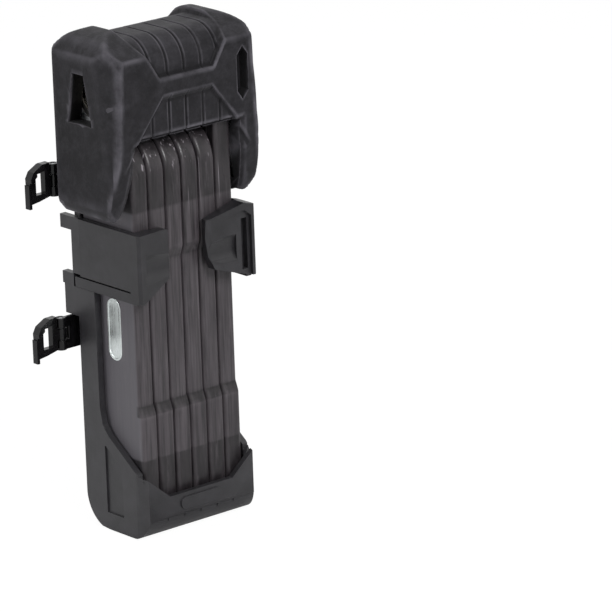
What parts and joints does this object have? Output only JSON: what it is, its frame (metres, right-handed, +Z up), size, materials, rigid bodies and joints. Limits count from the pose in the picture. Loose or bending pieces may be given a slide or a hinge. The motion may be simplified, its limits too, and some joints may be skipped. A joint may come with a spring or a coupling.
{
  "type": "folding bike lock",
  "caption": "Folding bicycle lock with coated steel bars and a key-operated lock body, standing in its black frame carrier with two spring arms and two straps.",
  "frame": {"origin": "on the flat underside of the carrier's cup, in the plane of symmetry of the bar stack and on the line below the rivet axes", "axes": "+Z up along the bars; +X across the stack of bars, away from the key end; +Y towards the bicycle tube, so the open front faces -Y"},
  "size_m": [0.0825, 0.0511, 0.201],
  "materials": {
    "carrier_plastic": "satin",
    "strap_plastic": "gloss",
    "pad_rubber": "matte",
    "bar_coat": "satin",
    "cover_silicone": "matte",
    "hardened_steel": "satin",
    "brass": "satin",
    "plug_nickel": "gloss",
    "badge_metal": "satin",
    "spring_steel": "satin"
  },
  "bodies": {
    "carrier": {"carrier_shell": "carrier_plastic", "back_plate": "carrier_plastic", "tube_pads": "pad_rubber", "upper_strap": "strap_plastic", "lower_strap": "strap_plastic", "upper_buckle_pin": "hardened_steel", "lower_buckle_pin": "hardened_steel"},
    "left_arm": {"left_arm": "carrier_plastic"},
    "right_arm": {"right_arm": "carrier_plastic"},
    "upper_buckle": {"upper_buckle": "strap_plastic"},
    "lower_buckle": {"lower_buckle": "strap_plastic"},
    "lock": {"bar_1": "hardened_steel", "bar_2": "hardened_steel", "bar_3": "hardened_steel", "bar_4": "hardened_steel", "bar_5": "hardened_steel", "bar_6": "hardened_steel", "bar_1_coat": "bar_coat", "bar_2_coat": "bar_coat", "bar_3_coat": "bar_coat", "bar_4_coat": "bar_coat", "bar_5_coat": "bar_coat", "bar_6_coat": "bar_coat", "lower_rivets": "hardened_steel", "upper_rivets": "hardened_steel", "body_rivet": "hardened_steel", "washers": "brass", "locking_head": "hardened_steel", "badge": "badge_metal", "lock_housing": "hardened_steel", "end_cap": "hardened_steel", "cap_screws": "hardened_steel", "cylinder_pin": "hardened_steel", "body_cover": "cover_silicone", "cylinder_body": "brass", "latch_spring": "spring_steel"},
    "plug": {"key_plug": "plug_nickel", "locking_discs": "brass", "side_bar": "hardened_steel", "drive_cam": "hardened_steel"},
    "latch": {"latch": "hardened_steel"}
  },
  "joints": [
    {"name": "lock_lift", "type": "slide", "parent": "carrier", "child": "lock", "axis": [0, 0, 1], "range_m": [0, 0.13]},
    {"name": "key_turn", "type": "hinge", "parent": "lock", "child": "plug", "pos_m": [-0.03, -0.0008, 0.176], "axis": [1, 0, 0], "range_deg": [0, 90]},
    {"name": "latch_slide", "type": "slide", "parent": "lock", "child": "latch", "axis": [0, 1, 0], "range_m": [0, 0.00339], "deforming": ["latch_spring"]},
    {"name": "left_arm_flex", "type": "hinge", "parent": "carrier", "child": "left_arm", "pos_m": [-0.02725, 0.0166, 0.0987], "axis": [0, 0, -1], "range_deg": [0, 7], "stiffness_Nm_per_rad": 8},
    {"name": "right_arm_flex", "type": "hinge", "parent": "carrier", "child": "right_arm", "pos_m": [0.02725, 0.0166, 0.0987], "axis": [0, 0, 1], "range_deg": [0, 7], "stiffness_Nm_per_rad": 8},
    {"name": "upper_buckle_swing", "type": "hinge", "parent": "carrier", "child": "upper_buckle", "pos_m": [-0.033, 0.0218, 0.1398], "axis": [0, 0, -1], "range_deg": [0, 75]},
    {"name": "lower_buckle_swing", "type": "hinge", "parent": "carrier", "child": "lower_buckle", "pos_m": [-0.033, 0.0218, 0.0778], "axis": [0, 0, -1], "range_deg": [0, 75]}
  ],
  "couplings": [
    {"joint": "key_turn", "follows": "latch_slide", "rad_per_m": 462.8}
  ]
}
